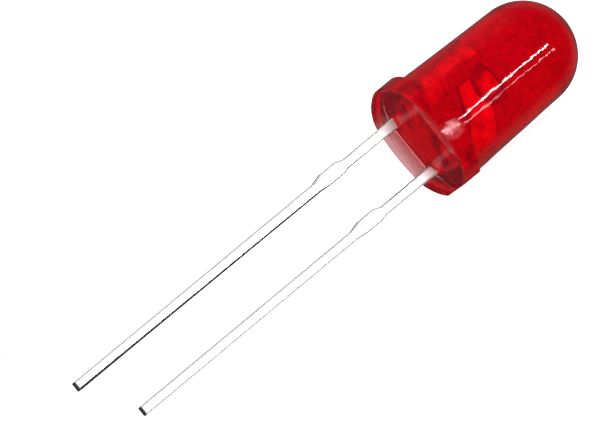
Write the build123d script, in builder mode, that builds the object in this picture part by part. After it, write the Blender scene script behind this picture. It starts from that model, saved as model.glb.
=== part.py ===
from build123d import *
from math import acos, atan2, cos, degrees, hypot, sin
import os

# Round 5 mm LED for through hole mounting, with a clear coloured epoxy lens.
#
# The optical axis is X: the dome is towards +X and the leads run towards -X. The origin is
# on the axis, in the seating plane under the flange. Z is up. The LED lies on the flat of its
# flange, which faces down, so the short cathode lead is the lower one. Millimetres.

# Lens, one epoxy casting round everything else
lens_height = 8.6        # seating plane to the top of the dome
barrel_radius = 2.52     # where the barrel meets the flange, the wide end of its draft
barrel_draft = 0.19      # how much less the dome's radius is
flange_thickness = 1.0
flange_step = 0.28       # how far the flange stands out from the barrel
flat_ledge = 0.04        # how far the flat stands out from the side of the barrel
flange_edge_round = 0.09
flange_root_round = 0.12

# Lead frame strip
strip_thickness = 0.45
lead_width = 0.45
lead_pitch = 2.54
anode_length = 18.8      # below the seating plane
cathode_length = 17.2

# Stubs that the dam bar leaves when it is cut away, measured below the seating plane
stub_near = 3.5
stub_far = 4.3
stub_near_ramp = 0.35
stub_far_ramp = 0.55
stub_wide_side = 0.13    # how far a stub stands out from the lead
stub_narrow_side = 0.07

# Cathode anvil and the reflector cup coined in its top
anvil_start = 1.45       # above the seating plane, as are the rest
anvil_shoulder = 2.6
anvil_reach = 0.46       # past the axis, towards the anode
cup_rim = 4.15
cup_height = 0.9         # from the top of the anvil to the rim
cup_rim_radius = 0.62
cup_foot_radius = 0.5
cup_wall = 0.1
cup_depth = 0.42
cup_floor_radius = 0.3
cup_neck = 0.45          # height of the cone that carries the cup on the anvil

# Anode post
frame_gap = 0.38         # from the anvil's sloped edge to the flag's, inside the lens
flag_start = 1.05
flag_reach = 0.55        # how far the flag stands in from the lead towards the axis
post_rise = 0.15         # how far the post stands above the rim of the cup
post_head_height = 0.55
post_head_overhang = 0.12

# Chip, its adhesive and its wire
chip_side = 0.28
chip_height = 0.24
attach_margin = 0.03     # adhesive squeezed out all round the chip
attach_thickness = 0.03
wire_radius = 0.015
ball_radius = 0.045
ball_height = 0.03
wedge_length = 0.12
wedge_width = 0.07
wedge_thickness = 0.04
loop_height = 0.5        # top of the loop above the post
loop_bend_radius = 0.18

# Places that follow from the sizes above
dome_radius = barrel_radius - barrel_draft
flange_radius = barrel_radius + flange_step
flat_distance = barrel_radius + flat_ledge
half_lead = lead_width / 2
anode_z = lead_pitch / 2
cathode_z = -lead_pitch / 2
anvil_top = cup_rim - cup_height
cup_floor = cup_rim - cup_depth
attach_side = chip_side + 2 * attach_margin
attach_top = cup_floor + attach_thickness
chip_top = attach_top + chip_height
post_top = cup_rim + post_rise


def stub(lead_z, side, reach):
    """Outline points of one side of a dam bar stub, from the lens towards the lead's tip."""
    edge = lead_z + side * half_lead
    return [
        (-stub_near + stub_near_ramp, edge),
        (-stub_near, edge + side * reach),
        (-stub_far, edge + side * reach),
        (-stub_far - stub_far_ramp, edge),
    ]


# Cathode frame: lead, anvil and reflector cup in one stamping
cup_foot = anvil_top - cup_neck

with BuildPart() as cathode_frame:
    with BuildSketch(Plane.XZ):
        with BuildLine():
            Polyline(
                (-cathode_length, cathode_z + half_lead),
                *reversed(stub(cathode_z, 1, stub_wide_side)),
                (anvil_start, cathode_z + half_lead),
                (anvil_shoulder, anvil_reach),
                (anvil_top, anvil_reach),
                (anvil_top, -cup_foot_radius),
                (anvil_shoulder, cathode_z - half_lead),
                *stub(cathode_z, -1, stub_narrow_side),
                (-cathode_length, cathode_z - half_lead),
                close=True,
            )
        make_face()
    extrude(amount=strip_thickness / 2, both=True)
    with BuildSketch(Plane.XZ):
        with BuildLine():
            Polyline(
                (cup_foot, 0),
                (anvil_top, cup_foot_radius),
                (cup_rim, cup_rim_radius),
                (cup_rim, cup_rim_radius - cup_wall),
                (cup_floor, cup_floor_radius),
                (cup_floor, 0),
                close=True,
            )
        make_face()
    revolve(axis=Axis.X)
cathode_frame.part.label = "cathode_frame"

# Anode frame: lead and post in one stamping. The flag's sloped edge runs along the anvil's.
anvil_width = anvil_reach - cathode_z - half_lead
anvil_slope = (anvil_shoulder - anvil_start) / anvil_width
gap_along_axis = frame_gap * hypot(1, anvil_slope)
flag_inner = anode_z - half_lead - flag_reach
flag_top = anvil_shoulder + anvil_slope * (flag_inner - anvil_reach) - gap_along_axis
post_root = flag_top + anvil_slope * flag_reach
head_inner = anode_z - half_lead - post_head_overhang
head_outer = anode_z + half_lead + post_head_overhang
head_base = post_top - post_head_height

with BuildPart() as anode_frame:
    with BuildSketch(Plane.XZ):
        with BuildLine():
            Polyline(
                (-anode_length, anode_z + half_lead),
                *reversed(stub(anode_z, 1, stub_wide_side)),
                (head_base - post_head_overhang, anode_z + half_lead),
                (head_base, head_outer),
                (post_top, head_outer),
                (post_top, head_inner),
                (head_base, head_inner),
                (head_base - post_head_overhang, anode_z - half_lead),
                (post_root, anode_z - half_lead),
                (flag_top, flag_inner),
                (flag_start, flag_inner),
                (flag_start, anode_z - half_lead),
                *stub(anode_z, -1, stub_narrow_side),
                (-anode_length, anode_z - half_lead),
                close=True,
            )
        make_face()
    extrude(amount=strip_thickness / 2, both=True)
anode_frame.part.label = "anode_frame"

# Conductive adhesive that holds the chip on the floor of the cup
with BuildPart() as die_attach:
    with BuildSketch(Plane.YZ.offset(cup_floor)):
        Rectangle(attach_side, attach_side)
    extrude(amount=attach_thickness)
die_attach.part.label = "die_attach"

# Light emitting chip
with BuildPart() as led_chip:
    with BuildSketch(Plane.YZ.offset(attach_top)):
        Rectangle(chip_side, chip_side)
    extrude(amount=chip_height)
led_chip.part.label = "led_chip"

# Bond wire: ball on the chip, loop, and wedge on the anode post, all one wire
wedge_middle = post_top + wedge_thickness / 2
loop_top = post_top + loop_height

with BuildPart() as bond_wire:
    with BuildSketch(Plane.YZ.offset(chip_top)):
        Circle(ball_radius)
    extrude(amount=ball_height)
    with BuildLine(Plane.XZ) as loop:
        FilletPolyline(
            (chip_top + ball_height / 2, 0),
            (loop_top, 0),
            (loop_top, anode_z / 2),
            (wedge_middle, anode_z),
            radius=loop_bend_radius,
        )
    with BuildSketch(Plane.YZ.offset(chip_top + ball_height / 2)):
        Circle(wire_radius)
    sweep(path=loop.wires()[0])
    with BuildSketch(Plane.YZ.offset(post_top)):
        with Locations((0, anode_z)):
            Rectangle(wedge_width, wedge_length)
    extrude(amount=wedge_thickness)
bond_wire.part.label = "bond_wire"

# Lens: a flange with a flat, a barrel with mould draft, and a dome tangent to the barrel
dome_centre = lens_height - dome_radius
root_distance = hypot(dome_centre - flange_thickness, barrel_radius)
root_angle = atan2(barrel_radius, flange_thickness - dome_centre)
tangent_angle = root_angle - acos(dome_radius / root_distance)
tangent_x = dome_centre + dome_radius * cos(tangent_angle)
tangent_z = dome_radius * sin(tangent_angle)

with BuildPart() as lens:
    with BuildSketch(Plane.XZ) as lens_profile:
        with BuildLine():
            Polyline(
                (lens_height, 0),
                (0, 0),
                (0, flange_radius),
                (flange_thickness, flange_radius),
                (flange_thickness, barrel_radius),
                (tangent_x, tangent_z),
            )
            CenterArc((dome_centre, 0), dome_radius, 0, degrees(tangent_angle))
        make_face()
        flange_corners = lens_profile.vertices().group_by(Axis.Y)[-1]
        fillet(flange_corners, flange_edge_round)
        flange_root = lens_profile.vertices().sort_by_distance((flange_thickness, barrel_radius))[0]
        fillet(flange_root, flange_root_round)
    revolve(axis=Axis.X)
    split(bisect_by=Plane.XY.offset(-flat_distance), keep=Keep.TOP)
    for embedded in (cathode_frame, anode_frame, die_attach, led_chip, bond_wire):
        add(embedded.part, mode=Mode.SUBTRACT)
lens.part.label = "lens"

os.makedirs("parts", exist_ok=True)
export_step(lens.part, "parts/lens.step")
export_step(cathode_frame.part, "parts/cathode_frame.step")
export_step(anode_frame.part, "parts/anode_frame.step")
export_step(led_chip.part, "parts/led_chip.step")
export_step(die_attach.part, "parts/die_attach.step")
export_step(bond_wire.part, "parts/bond_wire.step")
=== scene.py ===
from math import acos, atan2, cos, hypot, pi, radians, sin, sqrt

import bmesh
import bpy
from mathutils import Matrix, Vector, noise


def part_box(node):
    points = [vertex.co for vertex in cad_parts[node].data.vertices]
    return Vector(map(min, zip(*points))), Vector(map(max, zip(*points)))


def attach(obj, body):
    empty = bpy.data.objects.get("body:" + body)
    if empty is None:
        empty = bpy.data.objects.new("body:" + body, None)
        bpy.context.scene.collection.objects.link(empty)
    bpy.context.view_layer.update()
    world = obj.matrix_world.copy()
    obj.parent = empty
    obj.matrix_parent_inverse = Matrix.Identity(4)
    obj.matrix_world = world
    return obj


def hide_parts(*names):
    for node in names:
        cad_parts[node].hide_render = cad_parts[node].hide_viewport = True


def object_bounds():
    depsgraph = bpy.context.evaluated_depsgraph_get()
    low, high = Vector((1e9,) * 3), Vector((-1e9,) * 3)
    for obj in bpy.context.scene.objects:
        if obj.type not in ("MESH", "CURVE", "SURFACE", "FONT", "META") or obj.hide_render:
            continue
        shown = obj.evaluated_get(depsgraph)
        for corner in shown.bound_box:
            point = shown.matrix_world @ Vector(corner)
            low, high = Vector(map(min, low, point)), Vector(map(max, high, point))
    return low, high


# A round through hole LED with a clear red epoxy lens, lying on the flat of its flange.
# Metres. The optical axis is X, the dome is towards +X, the leads run towards -X.

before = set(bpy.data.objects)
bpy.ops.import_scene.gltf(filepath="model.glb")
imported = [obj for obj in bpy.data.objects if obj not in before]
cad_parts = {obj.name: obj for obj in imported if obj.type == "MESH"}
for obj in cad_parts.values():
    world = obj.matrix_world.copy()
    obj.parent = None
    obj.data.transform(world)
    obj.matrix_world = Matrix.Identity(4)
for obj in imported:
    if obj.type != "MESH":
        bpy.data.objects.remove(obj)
cad_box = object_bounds()
MM = 0.001

# Sizes that come from the frame
lens_low, lens_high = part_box("lens")
lens_height = lens_high.x
flange_radius = lens_high.z
flat_distance = -lens_low.z
floor_level = cad_box[0].z
half_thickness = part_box("anode_frame")[1].y

# Sizes of the lens and the leads that their boxes don't give
barrel_radius = 2.52 * MM
barrel_draft = 0.19 * MM
flange_thickness = 1.0 * MM
flange_edge_round = 0.09 * MM
flange_root_round = 0.12 * MM
lead_offset = 1.27 * MM
half_lead = 0.225 * MM


# Node helpers

class Nodes:
    """Adds nodes to a tree and links them, with inputs given by name."""

    def __init__(self, tree):
        self.tree = tree
        tree.nodes.clear()

    def add(self, kind, settings=None, **inputs):
        node = self.tree.nodes.new(kind)
        for key, value in (settings or {}).items():
            setattr(node, key, value)
        for key, value in inputs.items():
            name = key.replace("_", " ")
            socket = node.inputs[int(key[1:])] if key[1:].isdigit() else node.inputs[name]
            if isinstance(value, bpy.types.NodeSocket):
                self.tree.links.new(value, socket)
            else:
                socket.default_value = value
        return node

    def math(self, operation, a, b=0.0):
        return self.add("ShaderNodeMath", {"operation": operation}, i0=a, i1=b).outputs[0]

    def dot(self, vector, axis):
        node = self.add("ShaderNodeVectorMath", {"operation": "DOT_PRODUCT"}, i0=vector, i1=axis)
        return node.outputs["Value"]

    def step(self, value, low, high):
        """0 below low, 1 above high, smooth between."""
        settings = {"interpolation_type": "SMOOTHSTEP"}
        node = self.add("ShaderNodeMapRange", settings, Value=value, From_Min=low, From_Max=high)
        return node.outputs[0]

    def mix(self, factor, a, b):
        node = self.add("ShaderNodeMix", {"data_type": "RGBA"}, Factor=factor, i6=a, i7=b)
        return node.outputs[2]

    def noise(self, vector, scale, detail=3.0):
        node = self.add("ShaderNodeTexNoise", Vector=vector, Scale=scale, Detail=detail)
        return node.outputs["Fac"]


def material(name):
    mat = bpy.data.materials.new(name)
    mat.use_nodes = True
    return mat, Nodes(mat.node_tree)


def place(nodes):
    return nodes.add("ShaderNodeTexCoord").outputs["Object"]


def stretched(nodes, vector, scale):
    return nodes.add("ShaderNodeMapping", Vector=vector, Scale=scale).outputs[0]


# Camera: square to the plane of the leads, turned towards the base, and rolled
AXIS_TURN = radians(22)
CAMERA_RISE = radians(1.5)
CAMERA_ROLL = radians(39.1)
FRAME_WIDTH = 25.1 * MM
FOCAL_LENGTH = 1000.0
AIM = Vector((-6.085, 0, 0.914)) * MM


def make_camera():
    data = bpy.data.cameras.new("camera")
    data.lens = FOCAL_LENGTH
    distance = FRAME_WIDTH * data.lens / data.sensor_width
    data.clip_start = distance / 10
    data.clip_end = distance * 10
    camera = bpy.data.objects.new("camera", data)
    bpy.context.collection.objects.link(camera)
    back = Vector((
        -sin(AXIS_TURN) * cos(CAMERA_RISE),
        -cos(AXIS_TURN) * cos(CAMERA_RISE),
        sin(CAMERA_RISE),
    ))
    camera.location = AIM + back * distance
    upright = (-back).to_track_quat("-Z", "Y").to_matrix().to_4x4()
    camera.rotation_euler = (upright @ Matrix.Rotation(-CAMERA_ROLL, 4, "Z")).to_euler()
    bpy.context.scene.camera = camera


# Lens mesh

EDGE_STEPS = 5
ROOT_STEPS = 6
FLANGE_STEPS = 12
BARREL_STEPS = 60
DOME_STEPS = 56
ROUND_STEPS = 288
BASE_RINGS = 70


def arc(centre_x, centre_r, radius, start, end, steps):
    """Profile points (x, r) along an arc. Angles are in degrees from +X towards +r."""
    angles = [radians(start + (end - start) * i / steps) for i in range(steps + 1)]
    return [(centre_x + radius * cos(a), centre_r + radius * sin(a)) for a in angles]


def lens_profile():
    """Outer profile from the edge of the base to the top of the dome, as (x, r) points."""
    edge, root = flange_edge_round, flange_root_round
    dome_radius = barrel_radius - barrel_draft
    dome_centre = lens_height - dome_radius
    reach = hypot(dome_centre - flange_thickness, barrel_radius)
    leaves_at = atan2(barrel_radius, flange_thickness - dome_centre) - acos(dome_radius / reach)
    profile = arc(edge, flange_radius - edge, edge, 180, 90, EDGE_STEPS)
    for i in range(1, FLANGE_STEPS):
        x = edge + (flange_thickness - 2 * edge) * i / FLANGE_STEPS
        profile.append((x, flange_radius))
    profile += arc(flange_thickness - edge, flange_radius - edge, edge, 90, 0, EDGE_STEPS)
    profile += arc(flange_thickness + root, barrel_radius + root, root, 180, 270, ROOT_STEPS)
    start = profile[-1]
    end = (dome_centre + dome_radius * cos(leaves_at), dome_radius * sin(leaves_at))
    for i in range(1, BARREL_STEPS):
        t = i / BARREL_STEPS
        profile.append((start[0] + (end[0] - start[0]) * t, start[1] + (end[1] - start[1]) * t))
    profile += arc(dome_centre, 0, dome_radius, leaves_at * 180 / pi, 0, DOME_STEPS)[:-1]
    return profile


def flat_limited(radius, angle):
    """The radius at an angle round the axis, cut back to the flat, which faces down."""
    down = -sin(angle)
    if down <= 0:
        return radius
    return min(radius, flat_distance / down)


# Relief of the base. A reach is how far a feature spreads before it has died away.
CREST_OFFSET = 0.28 * MM
CREST_ROUND = 0.05 * MM
ANODE_BEND = 1.3 * MM
CATHODE_BEND = 0.25 * MM
RIDGE = 0.24 * MM
RIDGE_REACH = 2.5 * MM
RIDGE_ENDS_ANODE = (1.0 * MM, 2.2 * MM)
RIDGE_ENDS_CATHODE = (0.9 * MM, 1.9 * MM)
END_TILT = 0.05
BEAD = 0.012 * MM
BEAD_REACH = 0.2 * MM
RIM_REACH = 0.35 * MM
LEAD_FILLET = 0.09 * MM
LEAD_FILLET_REACH = 0.22 * MM

# Unevenness of the barrel and the dome
WAVE_HEIGHT = 0.006 * MM
WAVE_LENGTH = 1.7 * MM
WAVES_ROUND = 1.6
WAVE_FADE = 0.5 * MM


def eased(value, low, high):
    """0 below low, 1 above high, smooth between."""
    t = min(1.0, max(0.0, (value - low) / (high - low)))
    return t * t * (3 - 2 * t)


def base_crest(z):
    """Where the ridge on the base runs: behind the leads, then forwards past each of them,
    more sharply past the anode."""
    if z > 0:
        return CREST_OFFSET - ANODE_BEND * max(0.0, z / MM - 1.5) ** 4
    return CREST_OFFSET - CATHODE_BEND * max(0.0, -z / MM - 1.3) ** 2


def base_relief(y, z):
    """How far the cast base stands out towards the leads: a low ridge behind the lead row
    with a bead along its crest, slightly tilted ends beyond the row, and the epoxy that crept
    up each lead."""
    from_crest = y - base_crest(z)
    across = sqrt(from_crest ** 2 + CREST_ROUND ** 2)
    rim = eased(flange_radius - hypot(y, z), 0.0, RIM_REACH)
    row = (1 - eased(z, *RIDGE_ENDS_ANODE)) * (1 - eased(-z, *RIDGE_ENDS_CATHODE))
    height = RIDGE * max(0.0, 1 - (across / RIDGE_REACH) ** 1.7) * row
    height += END_TILT * y * (1 - row)
    height += BEAD * max(0.0, 1 - (from_crest / BEAD_REACH) ** 2) ** 2 * rim
    for lead in (-lead_offset, lead_offset):
        gap_y = max(0.0, abs(y) - half_thickness)
        gap_z = max(0.0, abs(z - lead) - half_lead)
        height += LEAD_FILLET * max(0.0, 1 - hypot(gap_y, gap_z) / LEAD_FILLET_REACH) ** 2
    return height


def lens_wave(x, angle):
    """Slow unevenness of the mould and of the cast surface."""
    at = Vector((x / WAVE_LENGTH, WAVES_ROUND * cos(angle), WAVES_ROUND * sin(angle)))
    return WAVE_HEIGHT * noise.noise(at, noise_basis="PERLIN_ORIGINAL")


def make_lens():
    """One closed casting: rings of vertices over the base, up the flange and barrel, and over
    the dome, with a fan at each end."""
    (base_x, base_radius), *side = lens_profile()
    angles = [2 * pi * i / ROUND_STEPS for i in range(ROUND_STEPS)]
    mesh = bmesh.new()
    rings = []
    for ring in range(1, BASE_RINGS + 1):
        share = ring / BASE_RINGS
        verts = []
        for angle in angles:
            rim = flat_limited(base_radius, angle)
            y, z = rim * share * cos(angle), rim * share * sin(angle)
            verts.append(mesh.verts.new((base_x - base_relief(y, z), y, z)))
        rings.append(verts)
    for x, r in side:
        verts = []
        for angle in angles:
            radius = flat_limited(r, angle)
            if flange_thickness < x < lens_height:
                radius += lens_wave(x, angle) * min(1.0, r / WAVE_FADE)
            verts.append(mesh.verts.new((x, radius * cos(angle), radius * sin(angle))))
        rings.append(verts)
    for near, far in zip(rings, rings[1:]):
        for i in range(ROUND_STEPS):
            j = (i + 1) % ROUND_STEPS
            mesh.faces.new((near[i], near[j], far[j], far[i]))
    base_middle = mesh.verts.new((base_x - base_relief(0, 0), 0, 0))
    dome_top = mesh.verts.new((lens_height, 0, 0))
    for i in range(ROUND_STEPS):
        j = (i + 1) % ROUND_STEPS
        mesh.faces.new((base_middle, rings[0][j], rings[0][i]))
        mesh.faces.new((dome_top, rings[-1][i], rings[-1][j]))
    bmesh.ops.recalc_face_normals(mesh, faces=mesh.faces)
    data = bpy.data.meshes.new("lens_casting")
    mesh.to_mesh(data)
    mesh.free()
    data.polygons.foreach_set("use_smooth", [True] * len(data.polygons))
    lens = bpy.data.objects.new("lens_casting", data)
    bpy.context.collection.objects.link(lens)
    data.materials.append(epoxy())
    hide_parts("lens")
    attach(lens, "root")


# Depths of the epoxy's surface texture: slow and fine unevenness everywhere, and the grain of
# the mould on the base and, a little deeper, on the flange
PEEL_DEPTH = 0.012 * MM
FINE_DEPTH = 0.006 * MM
GRAIN_DEPTH = 0.0115 * MM
FLANGE_GRAIN_MORE = 0.0005 * MM


def epoxy():
    """Epoxy dyed deep red and a little cloudy. The barrel is nearly smooth, and the flange
    and the base have the grain of the mould."""
    mat, nodes = material("red_epoxy")
    at = place(nodes)
    along = nodes.add("ShaderNodeSeparateXYZ", Vector=at).outputs["X"]
    cast = nodes.math("SUBTRACT", 1.0, nodes.step(along, 0.9 * MM, 1.05 * MM))
    cloud = nodes.step(nodes.noise(at, 3600.0, 5.0), 0.35, 0.65)
    tint = nodes.mix(cloud, (0.88, 0.0, 0.03, 1), (0.62, 0.0, 0.02, 1))
    peel = nodes.math("MULTIPLY", nodes.noise(at, 1100.0, 2.0), PEEL_DEPTH)
    fine = nodes.math("MULTIPLY", nodes.noise(at, 4500.0, 2.0), FINE_DEPTH)
    side = nodes.step(along, 0.02 * MM, 0.08 * MM)
    depth = nodes.math("ADD", GRAIN_DEPTH, nodes.math("MULTIPLY", side, FLANGE_GRAIN_MORE))
    depth = nodes.math("MULTIPLY", depth, cast)
    grain = nodes.math("MULTIPLY", nodes.noise(at, 9000.0, 3.0), depth)
    relief = nodes.math("ADD", nodes.math("ADD", peel, fine), grain)
    bump = nodes.add("ShaderNodeBump", Height=relief, Strength=1.0, Distance=1.0)
    surface = nodes.add(
        "ShaderNodeBsdfPrincipled",
        Base_Color=tint,
        Roughness=0.05,
        IOR=1.53,
        Transmission_Weight=0.8,
        Specular_Tint=(1.0, 0.72, 0.74, 1),
        Normal=bump.outputs[0],
    )
    dye = nodes.add("ShaderNodeVolumeAbsorption", Color=(0.955, 0.0, 0.12, 1), Density=1600.0)
    nodes.add("ShaderNodeOutputMaterial", Surface=surface.outputs[0], Volume=dye.outputs[0])
    return mat


# Lead frames

def plated(name, shine=1.0):
    """Bright tin over stamped steel, with faint marks drawn along the strip. Inside the lens
    it is rougher and dented, with bare patches near the base. Less shine makes it rougher and
    less metallic, for the edges that the press broke."""
    mat, nodes = material(name)
    at = place(nodes)
    along = nodes.add("ShaderNodeSeparateXYZ", Vector=at).outputs["X"]
    inside = nodes.step(along, 0.0, 0.2 * MM)
    drawn = nodes.noise(stretched(nodes, at, (120.0, 2600.0, 2600.0)), 1.0, 3.0)
    cloud = nodes.noise(at, 700.0)
    colour = nodes.mix(cloud, (0.95, 0.95, 0.94, 1), (0.86, 0.86, 0.86, 1))
    bare = nodes.math("SUBTRACT", inside, nodes.step(along, 1.9 * MM, 2.5 * MM))
    bare = nodes.math("MULTIPLY", bare, nodes.step(cloud, 0.48, 0.62))
    colour = nodes.mix(bare, colour, (0.3, 0.24, 0.2, 1))
    rough = nodes.add("ShaderNodeMapRange", Value=drawn, To_Min=0.24, To_Max=0.34).outputs[0]
    rough = nodes.math("ADD", rough, nodes.math("MULTIPLY", inside, 0.2))
    rough = nodes.math("ADD", rough, 0.5 * (1 - shine))
    height = nodes.math("MULTIPLY", drawn, 0.0015 * MM)
    depth = nodes.math("ADD", 0.012 * MM, nodes.math("MULTIPLY", inside, 0.3 * MM))
    dents = nodes.math("MULTIPLY", nodes.noise(at, 1000.0, 2.0), depth)
    relief = nodes.math("ADD", height, dents)
    bump = nodes.add("ShaderNodeBump", Height=relief, Strength=1.0, Distance=1.0)
    surface = nodes.add(
        "ShaderNodeBsdfPrincipled",
        Base_Color=colour,
        Metallic=shine,
        Roughness=rough,
        Normal=bump.outputs[0],
    )
    nodes.add("ShaderNodeOutputMaterial", Surface=surface.outputs[0])
    return mat


def dark_dull_steel(name):
    """Dark, dull steel, for the cut ends of the leads and for the chamfer along the anode's lower
    front edge.
    """
    mat, nodes = material(name)
    grain = nodes.noise(place(nodes), 14000.0, 4.0)
    colour = nodes.mix(grain, (0.035, 0.028, 0.024, 1), (0.075, 0.062, 0.052, 1))
    surface = nodes.add("ShaderNodeBsdfPrincipled", Base_Color=colour, Metallic=0.6, Roughness=0.6)
    nodes.add("ShaderNodeOutputMaterial", Surface=surface.outputs[0])
    return mat


EDGE_ROUND = 0.04 * MM
EDGE_WIDTH = 0.05 * MM
WORN_EDGE_WIDTH = 0.075 * MM
BROKEN_FROM = -0.1 * MM
LOW_CHAMFER_FROM = -6 * MM
ROUNDED_TO = 2.4 * MM
SHARP = radians(50)
PLATED, DARK_DULL, WORN = 0, 1, 2


def is_sharp(edge):
    return len(edge.link_faces) == 2 and edge.calc_face_angle() > SHARP


def front_edges(mesh, middle, side, start):
    """The sharp front edges that run along the lead, those above the middle of the tip for
    side 1 and those below it for side -1, which reach past start towards the tip."""
    edges = []
    for edge in filter(is_sharp, mesh.edges):
        low, high = sorted((v.co for v in edge.verts), key=lambda co: co.x)
        front = low.y < 0 and high.y < 0
        beside = side * (low.z - middle) > 0 and side * (high.z - middle) > 0
        along = high.x - low.x > 0.1 * MM and low.x < start
        if front and beside and along:
            edges.append(edge)
    return edges


def bevel(mesh, edges, offset, segments, slot):
    bmesh.ops.bevel(
        mesh,
        geom=edges,
        offset=offset,
        segments=segments,
        profile=0.5,
        affect="EDGES",
        clamp_overlap=True,
        material=slot,
    )


def make_lead_frame(node, name, low_chamfer=0.0):
    """The stamping, with the long front edges broken into narrow faces by the press and the
    other edges rounded by the plating. A chamfer first takes that much off the lower front edge,
    towards the tip, and gets the same dark, dull colour as the end of the lead."""
    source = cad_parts[node]
    mesh = bmesh.new()
    mesh.from_mesh(source.data)
    mesh.transform(source.matrix_world)
    bmesh.ops.remove_doubles(mesh, verts=mesh.verts, dist=0.0005 * MM)
    bmesh.ops.dissolve_limit(
        mesh, angle_limit=radians(1.5), verts=mesh.verts, edges=mesh.edges
    )
    tips = [v.co for v in mesh.verts if v.co.x < -10 * MM]
    middle = sum(co.z for co in tips) / len(tips)
    if low_chamfer:
        bevel(mesh, front_edges(mesh, middle, -1, LOW_CHAMFER_FROM), low_chamfer, 1, PLATED)
        bevel(mesh, front_edges(mesh, middle, -1, BROKEN_FROM), EDGE_WIDTH, 1, PLATED)
    else:
        bevel(mesh, front_edges(mesh, middle, -1, BROKEN_FROM), WORN_EDGE_WIDTH, 1, WORN)
    bevel(mesh, front_edges(mesh, middle, 1, BROKEN_FROM), WORN_EDGE_WIDTH, 1, WORN)
    sharp = filter(is_sharp, mesh.edges)
    rounded = [e for e in sharp if max(v.co.x for v in e.verts) < ROUNDED_TO]
    bevel(mesh, rounded, EDGE_ROUND, 4, PLATED)
    bmesh.ops.recalc_face_normals(mesh, faces=mesh.faces)
    tip = min(v.co.x for v in mesh.verts)
    data = bpy.data.meshes.new(name)
    for face in mesh.faces:
        x = face.calc_center_median().x
        facing = abs(face.normal.y)
        flat = facing < 0.001 or facing > 0.999 or abs(facing - sqrt(0.5)) < 0.02
        face.smooth = not flat or x > 1 * MM
        on_end = x < tip + 0.004 * MM and face.normal.x < -0.9
        # the anode's lower front chamfer towards the tip is coloured dark and dull, like the
        # lead's end
        on_low_chamfer = x < LOW_CHAMFER_FROM and face.normal.y < -0.3 and face.normal.z < -0.3
        if on_end or (low_chamfer and on_low_chamfer):
            face.material_index = DARK_DULL
    mesh.to_mesh(data)
    mesh.free()
    data.materials.append(plated(name + "_plating"))
    data.materials.append(dark_dull_steel(name + "_dark_dull_face"))
    data.materials.append(plated(name + "_worn_edge", 0.5))
    lead = bpy.data.objects.new(name, data)
    bpy.context.collection.objects.link(lead)
    weighted = lead.modifiers.new("normals", "WEIGHTED_NORMAL")
    weighted.keep_sharp = True
    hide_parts(node)
    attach(lead, "root")


# Pieces kept from the CAD

def grained(name, dark, light, scale, **settings):
    """A plain finish whose colour varies with a fine grain."""
    mat, nodes = material(name)
    grain = nodes.noise(place(nodes), scale)
    surface = nodes.add(
        "ShaderNodeBsdfPrincipled", Base_Color=nodes.mix(grain, dark, light), **settings
    )
    nodes.add("ShaderNodeOutputMaterial", Surface=surface.outputs[0])
    return mat


def dress(node, mat):
    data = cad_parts[node].data
    data.materials.clear()
    data.materials.append(mat)


# Surroundings

def direction(turn, rise):
    """Unit vector at a turn from +X towards +Y and a rise above the floor, in degrees."""
    turn, rise = radians(turn), radians(rise)
    return Vector((cos(turn) * cos(rise), sin(turn) * cos(rise), sin(rise)))


def panel(nodes, way, turn, rise, half_wide, half_tall, blur):
    """1 inside a rectangle of the surroundings, 0 outside. Sizes in degrees."""
    centre = direction(turn, rise)
    side = centre.cross(Vector((0, 0, 1))).normalized()
    up = side.cross(centre)
    inside = nodes.step(nodes.dot(way, centre), 0.2, 0.25)
    for axis, half in ((side, half_wide), (up, half_tall)):
        off = nodes.math("ABSOLUTE", nodes.dot(way, axis))
        low, high = sin(radians(max(0.0, half - blur))), sin(radians(half + blur))
        within = nodes.math("SUBTRACT", 1.0, nodes.step(off, low, high))
        inside = nodes.math("MULTIPLY", inside, within)
    return inside


# Strengths of the surroundings, where 1 is white. What shows through the epoxy is brighter
# than that in front, so that the dyed lens isn't too dark.
THROUGH_FRONT = 1.9
THROUGH_ROUND = 0.7
THROUGH_DARK = 0.3
THROUGH_PAST_DOME = 0.45
MIRRORED_CARD = 0.95
MIRRORED_CEILING = 0.13
MIRRORED_ASIDE = 0.42
MIRRORED_SHADE = 0.9
MIRRORED_BEHIND = 0.11
MIRRORED_ROOM = 0.025
SOFT_LIGHT = 0.8


def seen_through(nodes, split):
    """Strength of the surroundings that show through the epoxy: brightest in front, less past
    the dome, and dim above, below and behind the leads."""
    dark = nodes.step(nodes.math("ABSOLUTE", split["Z"]), 0.8, 0.92)
    leads = nodes.step(nodes.math("MULTIPLY", split["X"], -1.0), 0.55, 0.8)
    dark = nodes.math("MAXIMUM", dark, leads)
    front = nodes.step(nodes.math("MULTIPLY", split["Y"], -1.0), 0.1, 0.6)
    bright = nodes.math("ADD", nodes.math("MULTIPLY", front, THROUGH_FRONT), THROUGH_ROUND)
    past = nodes.math("MULTIPLY", nodes.step(split["X"], 0.42, 0.7), THROUGH_PAST_DOME)
    bright = nodes.math("MULTIPLY", bright, nodes.math("SUBTRACT", 1.0, past))
    through = nodes.math("MULTIPLY", bright, nodes.math("SUBTRACT", 1.0, dark))
    return nodes.math("ADD", through, THROUGH_DARK)


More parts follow.
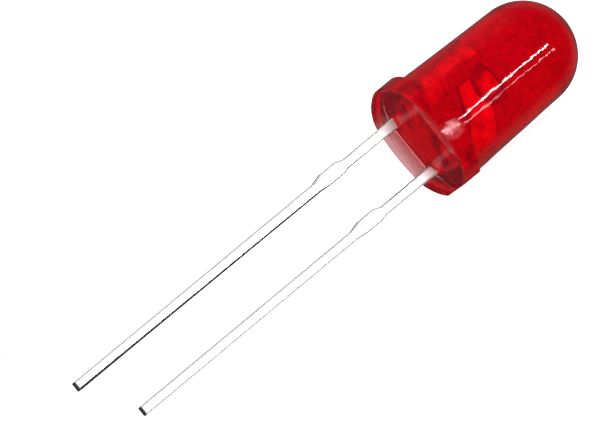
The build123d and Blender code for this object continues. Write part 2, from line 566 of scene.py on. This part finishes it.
def seen_mirrored(nodes, way, split):
    """Strength of the surroundings that polished faces show: a dark room with two white cards
    behind the part, a faint ceiling, a grey side towards the leads with a shade in it, and a
    dim corner behind the dome."""
    far = nodes.math("MULTIPLY", panel(nodes, way, 98, 0, 9, 13, 3), MIRRORED_CARD)
    near = nodes.math("MULTIPLY", panel(nodes, way, 86, 0, 6, 13, 3), MIRRORED_CARD)
    ceiling = nodes.math("MULTIPLY", nodes.step(split["Z"], 0.8, 0.95), MIRRORED_CEILING)
    gloss = nodes.math("ADD", nodes.math("ADD", far, near), ceiling)
    aside = nodes.math("SUBTRACT", 1.0, nodes.step(split["X"], 0.1, 0.25))
    shade = nodes.math("MULTIPLY", panel(nodes, way, 115, 0, 31, 45, 3), MIRRORED_SHADE)
    aside = nodes.math("MULTIPLY", aside, nodes.math("SUBTRACT", 1.0, shade))
    gloss = nodes.math("MAXIMUM", gloss, nodes.math("MULTIPLY", aside, MIRRORED_ASIDE))
    behind = nodes.step(split["Y"], 0.0, 0.4)
    behind = nodes.math("MULTIPLY", behind, nodes.step(split["X"], 0.1, 0.3))
    gloss = nodes.math("MAXIMUM", gloss, nodes.math("MULTIPLY", behind, MIRRORED_BEHIND))
    return nodes.math("ADD", gloss, MIRRORED_ROOM)


def studio():
    """The world: white to the camera, and different to rays that crossed the epoxy, to rays
    that polished faces mirror and to diffuse rays."""
    world = bpy.data.worlds.new("studio")
    bpy.context.scene.world = world
    world.use_nodes = True
    nodes = Nodes(world.node_tree)
    ray = nodes.add("ShaderNodeLightPath").outputs
    way = nodes.add("ShaderNodeTexCoord").outputs["Generated"]
    split = nodes.add("ShaderNodeSeparateXYZ", Vector=way).outputs
    # In Cycles a transmission ray counts as a glossy one too
    crossing = ray["Is Transmission Ray"]
    mirroring = nodes.math("SUBTRACT", 1.0, crossing)
    mirroring = nodes.math("MULTIPLY", ray["Is Glossy Ray"], mirroring)
    mirrored = nodes.math("MULTIPLY", seen_mirrored(nodes, way, split), mirroring)
    through = nodes.math("MULTIPLY", seen_through(nodes, split), crossing)
    seen = nodes.math("ADD", mirrored, through)
    seen = nodes.math("ADD", seen, ray["Is Camera Ray"])
    soft = nodes.math("MULTIPLY", ray["Is Diffuse Ray"], SOFT_LIGHT)
    strength = nodes.math("ADD", seen, soft)
    background = nodes.add("ShaderNodeBackground", Color=(1, 1, 1, 1), Strength=strength)
    nodes.add("ShaderNodeOutputWorld", Surface=background.outputs[0])


FLOOR_RADIUS = 0.3
FLOOR_LIFT = 0.8


def make_floor():
    """Pale paper, lifted to white for the camera where it isn't in shadow. Glossy,
    transmission and shadow rays pass through it, so the lens and the leads show the
    surroundings below it, and the two thin lights reach them from there."""
    data = bpy.data.meshes.new("floor")
    mesh = bmesh.new()
    bmesh.ops.create_circle(mesh, cap_ends=True, segments=96, radius=FLOOR_RADIUS)
    mesh.to_mesh(data)
    mesh.free()
    floor = bpy.data.objects.new("floor", data)
    floor.location.z = floor_level
    bpy.context.collection.objects.link(floor)
    mat, nodes = material("floor_paper")
    ray = nodes.add("ShaderNodeLightPath").outputs
    grain = nodes.noise(place(nodes), 400.0)
    colour = nodes.mix(grain, (0.93, 0.93, 0.93, 1), (0.95, 0.95, 0.95, 1))
    paper = nodes.add("ShaderNodeBsdfDiffuse", Color=colour)
    strength = nodes.math("MULTIPLY", ray["Is Camera Ray"], FLOOR_LIFT)
    lift = nodes.add("ShaderNodeEmission", Strength=strength)
    lit = nodes.add("ShaderNodeAddShader", i0=paper.outputs[0], i1=lift.outputs[0])
    clear = nodes.add("ShaderNodeBsdfTransparent")
    passes = nodes.math("MAXIMUM", ray["Is Glossy Ray"], ray["Is Transmission Ray"])
    passes = nodes.math("MAXIMUM", passes, ray["Is Shadow Ray"])
    both = nodes.add("ShaderNodeMixShader", i0=passes, i1=lit.outputs[0], i2=clear.outputs[0])
    nodes.add("ShaderNodeOutputMaterial", Surface=both.outputs[0])
    data.materials.append(mat)


LAMP_DISTANCE = 0.4


def lamp(name, turn, rise, wide, tall, radiance):
    """An area light that faces the object. The sizes are in degrees as the object sees it."""
    data = bpy.data.lights.new(name, "AREA")
    data.shape = "RECTANGLE"
    data.size = 2 * LAMP_DISTANCE * sin(radians(wide / 2))
    data.size_y = 2 * LAMP_DISTANCE * sin(radians(tall / 2))
    data.energy = radiance * pi * data.size * data.size_y
    light = bpy.data.objects.new(name, data)
    bpy.context.collection.objects.link(light)
    light.location = direction(turn, rise) * LAMP_DISTANCE
    light.rotation_euler = light.location.to_track_quat("Z", "Y").to_euler()
    light.visible_camera = False
    light.visible_transmission = False
    return light


def make_lights():
    """Two thin lights in front and below, which only polished faces show, and a wide soft one
    overhead, which shapes the shadow on the floor."""
    window = lamp("window", turn=-76, rise=-12, wide=44, tall=1.4, radiance=96)
    sill = lamp("window_sill", turn=-60, rise=-25, wide=28, tall=0.9, radiance=20)
    for light in (window, sill):
        light.visible_diffuse = False
    key = lamp("key", turn=-110, rise=70, wide=50, tall=50, radiance=1.2)
    key.visible_glossy = False


make_camera()
make_lens()
make_lead_frame("anode_frame", "anode_stamping", low_chamfer=0.08 * MM)
make_lead_frame("cathode_frame", "cathode_stamping")
dress("led_chip", grained(
    "chip_crystal", (0.3, 0.22, 0.16, 1), (0.42, 0.33, 0.25, 1), 9000.0, Roughness=0.35
))
dress("die_attach", grained(
    "silver_epoxy", (0.5, 0.5, 0.5, 1), (0.7, 0.7, 0.7, 1), 20000.0, Roughness=0.5, Metallic=0.5
))
dress("bond_wire", grained(
    "gold_wire", (0.9, 0.66, 0.28, 1), (1.0, 0.77, 0.36, 1), 9000.0, Roughness=0.2, Metallic=1.0
))
studio()
make_floor()
make_lights()
bpy.context.scene.view_settings.view_transform = "Standard"
